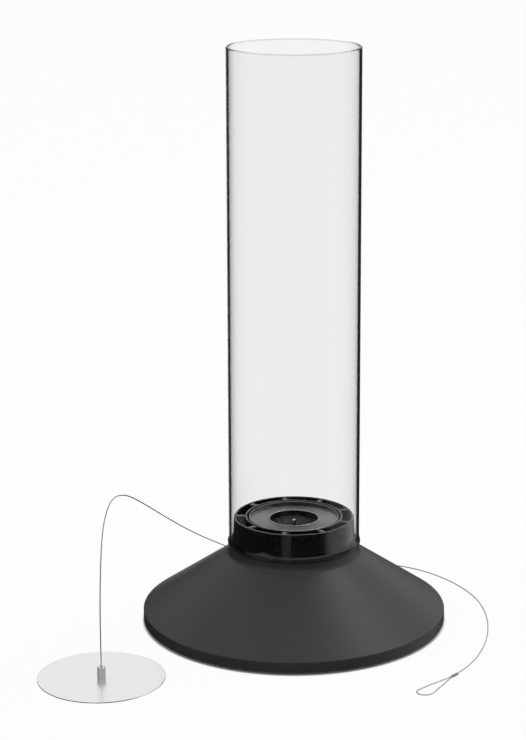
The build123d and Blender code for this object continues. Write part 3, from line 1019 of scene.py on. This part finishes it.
class CFP_OT_crimp(bpy.types.Operator):
    """Oval sleeve pressed on the two strands of the loop"""

    bl_idname = "cfp.crimp"
    bl_label = "Crimp Sleeve"

    def execute(self, context):
        centre = (CRIMP_BOX[0] + CRIMP_BOX[1]) / 2
        thickness_radius, width_radius = 0.95 * MM, 1.55 * MM
        strands_x, strands_y = -0.628, -0.778
        length = context.scene.cfp_snuffer.crimp_length
        start_clean()
        bpy.ops.mesh.primitive_cylinder_add(vertices=32, radius=thickness_radius, depth=length)
        piece = bpy.context.object
        piece.name = "crimp_body"
        piece.data.name = "crimp_body"
        bpy.ops.object.mode_set(mode="EDIT")
        bpy.ops.mesh.select_all(action="SELECT")
        bpy.ops.transform.resize(value=(1.0, width_radius / thickness_radius, 1.0))
        bpy.ops.mesh.select_all(action="DESELECT")
        bpy.ops.mesh.select_mode(type="FACE")
        bpy.ops.object.mode_set(mode="OBJECT")
        for face in piece.data.polygons:
            face.select = abs(face.normal.z) > 0.9
        bpy.ops.object.mode_set(mode="EDIT")
        bpy.ops.mesh.bevel(offset=0.3 * MM, segments=3, affect="EDGES")
        bpy.ops.object.mode_set(mode="OBJECT")
        piece.rotation_euler = (0.0, math.pi / 2, math.atan2(strands_y, strands_x))
        bpy.ops.object.transform_apply(location=False, rotation=True, scale=False)
        bpy.ops.object.mode_set(mode="EDIT")
        bpy.ops.mesh.select_all(action="SELECT")
        bpy.ops.transform.translate(value=tuple(centre))
        finish_shell(piece)
        dress(piece, "crimp", "snuffer", "cable_steel", "crimp_sleeve")
        return {"FINISHED"}


class CFP_OT_cable(bpy.types.Operator):
    """Stiff steel cable from the ferrule to the loop"""

    bl_idname = "cfp.cable"
    bl_label = "Snuffer Cable"

    def execute(self, context):
        thickness = context.scene.cfp_snuffer.cable_thickness
        curve = bpy.data.curves.new("cable_wire", "CURVE")
        curve.dimensions = "3D"
        spline = curve.splines.new("NURBS")
        spline.points.add(len(CABLE_ROUTE) - 1)
        for point, place in zip(spline.points, CABLE_ROUTE):
            point.co = (*place, 1.0)
        spline.order_u = 3
        spline.use_endpoint_u = True
        spline.resolution_u = 10
        curve.bevel_depth = thickness / 2
        curve.bevel_resolution = 3
        curve.use_fill_caps = True
        piece = bpy.data.objects.new("cable_wire", curve)
        context.collection.objects.link(piece)
        dress(piece, "cable", "snuffer", "cable_steel", "snuffer_cable")
        return {"FINISHED"}


# Stage


def ray_kinds(tree):
    """Masks of the rays that mirror the stage, and of those that see it directly or through the glass."""
    path = add_node(tree, "ShaderNodeLightPath")
    mirrored = math_node(tree, "GREATER_THAN", path.outputs["Glossy Depth"], 0.5)
    direct = math_node(tree, "MAXIMUM", path.outputs["Is Camera Ray"], path.outputs["Is Transmission Ray"])
    return mirrored, direct


class CFP_OT_stage(bpy.types.Operator):
    """Camera, lamps, white floor and the room that the surfaces mirror"""

    bl_idname = "cfp.stage"
    bl_label = "Stage"

    def execute(self, context):
        self.camera(context)
        self.world(context)
        self.lamps(context)
        self.floor()
        context.scene.view_settings.view_transform = "Standard"
        return {"FINISHED"}

    def camera(self, context):
        """Camera that sees the object as the photograph does, from pixels of its 526 by 740 frame."""
        frame_wide, frame_high = 526.0, 740.0
        focal_px = 2222.6
        axis_x, axis_y = 293.9, 289.57
        downward = math.radians(13.139)
        data = bpy.data.cameras.new("photo_camera")
        data.sensor_width = 36.0
        data.lens = focal_px * data.sensor_width / frame_high
        data.shift_x = (frame_wide / 2 - axis_x) / frame_high
        data.shift_y = (axis_y - frame_high / 2) / frame_high
        data.clip_end = 20.0
        camera = bpy.data.objects.new("photo_camera", data)
        camera.location = (0.0, -1.9408, 0.7644)
        camera.rotation_euler = (math.pi / 2 - downward, 0.0, 0.0)
        context.collection.objects.link(camera)
        context.scene.camera = camera

    def world(self, context):
        """White all round; what the surfaces mirror is a dark room with its own lights instead."""
        world = bpy.data.worlds.new("studio")
        world.use_nodes = True
        tree = world.node_tree
        tree.nodes.clear()
        mirrored, direct = ray_kinds(tree)
        plain = add_node(tree, "ShaderNodeMix", {"A": 0.65, "B": 1.0}, data_type="FLOAT")
        strength = add_node(tree, "ShaderNodeMix", data_type="FLOAT")
        light = add_node(tree, "ShaderNodeBackground", {"Color": (1.0, 1.0, 1.0, 1.0)})
        out = add_node(tree, "ShaderNodeOutputWorld")
        link = tree.links.new
        link(direct, plain.inputs["Factor"])
        link(mirrored, strength.inputs["Factor"])
        link(plain.outputs["Result"], strength.inputs["A"])
        link(self.mirrored_room(tree), strength.inputs["B"])
        link(strength.outputs["Result"], light.inputs["Strength"])
        link(light.outputs["Background"], out.inputs["Surface"])
        context.scene.world = world

    def mirrored_room(self, tree):
        """Brightness of the room: ceiling, window on the right, doorway behind, sky and slit in front."""
        place = add_node(tree, "ShaderNodeTexCoord").outputs["Generated"]
        parts = add_node(tree, "ShaderNodeSeparateXYZ")
        tree.links.new(place, parts.inputs["Vector"])
        across, depth, height = (parts.outputs[axis] for axis in "XYZ")
        ahead = math_node(tree, "LESS_THAN", depth, 0.0)
        behind = math_node(tree, "GREATER_THAN", depth, 0.0)
        ceiling = graded(tree, along(tree, place, (0.2, 0.35, 1.0)), 0.35, 0.62, 0.02, 1.0)
        sky = math_node(tree, "MULTIPLY", graded(tree, height, -0.06, 0.2, 0.0, 0.8), ahead)
        window = graded(tree, along(tree, place, (1.0, 0.2, 0.0)), 0.68, 0.82, 0.0, 0.6)
        doorway = math_node(tree, "MULTIPLY", math_node(tree, "COMPARE", across, -0.09, 0.095), behind)
        slit = math_node(tree, "MULTIPLY", math_node(tree, "COMPARE", across, -0.22, 0.13), ahead)
        brightest = ceiling
        for light in (sky, window, doorway, math_node(tree, "MULTIPLY", slit, 0.25)):
            brightest = math_node(tree, "MAXIMUM", brightest, light)
        return brightest

    def lamps(self, context):
        """Faint soft lamp on the left and a stronger one on the right, both aimed at the cone."""
        aimed_at = Vector((0.0, 0.0, 0.1))
        for name, place, size, energy in (
            ("soft_left", (-2.0, 0.4, 2.6), 1.4, 1.0),
            ("soft_right", (1.15, 0.69, 2.23), 0.8, 10.0),
        ):
            data = bpy.data.lights.new(name, "AREA")
            data.energy = energy
            data.size = size
            lamp = bpy.data.objects.new(name, data)
            lamp.location = place
            lamp.rotation_euler = (aimed_at - Vector(place)).to_track_quat("-Z", "Y").to_euler()
            context.collection.objects.link(lamp)

    def floor(self):
        """White floor that keeps the shadow under the object and that no surface mirrors."""
        start_clean()
        bpy.ops.mesh.primitive_plane_add(size=30.0, location=(0.0, 0.0, -0.2 * MM))
        floor = bpy.context.object
        floor.name = "pale_floor"
        material = bpy.data.materials.new("pale_floor")
        material.use_nodes = True
        tree = material.node_tree
        tree.nodes.clear()
        glow_from, glow_full = 138.8 * MM, 140.8 * MM
        place = add_node(tree, "ShaderNodeTexCoord")
        reach = add_node(tree, "ShaderNodeVectorMath", operation="LENGTH")
        outside = graded(tree, reach.outputs["Value"], glow_from, glow_full, 0.0, 0.94)
        mirrored, direct = ray_kinds(tree)
        paper = add_node(tree, "ShaderNodeBsdfDiffuse", {"Color": (0.95, 0.95, 0.95, 1.0)})
        glow = add_node(tree, "ShaderNodeEmission", {"Color": (1.0, 1.0, 1.0, 1.0), "Strength": 1.0})
        unseen = add_node(tree, "ShaderNodeBsdfTransparent")
        lit = add_node(tree, "ShaderNodeMixShader")
        mix = add_node(tree, "ShaderNodeMixShader")
        out = add_node(tree, "ShaderNodeOutputMaterial")
        link = tree.links.new
        link(place.outputs["Object"], reach.inputs[0])
        link(math_node(tree, "MULTIPLY", outside, direct), lit.inputs["Fac"])
        link(paper.outputs["BSDF"], lit.inputs[1])
        link(glow.outputs["Emission"], lit.inputs[2])
        link(mirrored, mix.inputs["Fac"])
        link(lit.outputs["Shader"], mix.inputs[1])
        link(unseen.outputs["BSDF"], mix.inputs[2])
        link(mix.outputs["Shader"], out.inputs["Surface"])
        floor.data.materials.append(material)


OPERATORS = (
    CFP_OT_stage,
    CFP_OT_snuffer_disc,
    CFP_OT_ferrule,
    CFP_OT_crimp,
    CFP_OT_cable,
    CFP_OT_base_cone,
    CFP_OT_gasket,
    CFP_OT_underside,
    CFP_OT_air_collar,
    CFP_OT_fuel_can,
    CFP_OT_burner_cover,
    CFP_OT_sleeve,
    CFP_OT_wool,
    CFP_OT_centre_rod,
    CFP_OT_glass_tube,
)


class CFP_PT_panel(bpy.types.Panel):
    """Lists the fireplace's pieces"""

    bl_idname = "CFP_PT_panel"
    bl_label = "Tabletop Fireplace"
    bl_space_type = "VIEW_3D"
    bl_region_type = "UI"
    bl_category = "Fireplace"

    def draw(self, context):
        for settings in SETTINGS:
            group = getattr(context.scene, settings)
            box = self.layout.box()
            for key in group.bl_rna.properties.keys():
                if key not in ("rna_type", "name"):
                    box.prop(group, key)
        for operator in OPERATORS:
            self.layout.operator(operator.bl_idname)


SETTINGS = {
    "cfp_base": CFP_base_settings,
    "cfp_glass": CFP_glass_settings,
    "cfp_burner": CFP_burner_settings,
    "cfp_snuffer": CFP_snuffer_settings,
}


def register():
    """Register the settings, the operators and the panel."""
    for key, settings in SETTINGS.items():
        bpy.utils.register_class(settings)
        setattr(bpy.types.Scene, key, PointerProperty(type=settings))
    for cls in (*OPERATORS, CFP_PT_panel):
        bpy.utils.register_class(cls)


def unregister():
    """Take them out again."""
    for cls in (CFP_PT_panel, *reversed(OPERATORS)):
        bpy.utils.unregister_class(cls)
    for key, settings in SETTINGS.items():
        delattr(bpy.types.Scene, key)
        bpy.utils.unregister_class(settings)


def main():
    """Make the whole object."""
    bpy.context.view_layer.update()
    register()
    for operator in OPERATORS:
        group, action = operator.bl_idname.split(".")
        getattr(getattr(bpy.ops, group), action)()


if __name__ == "__main__":
    main()
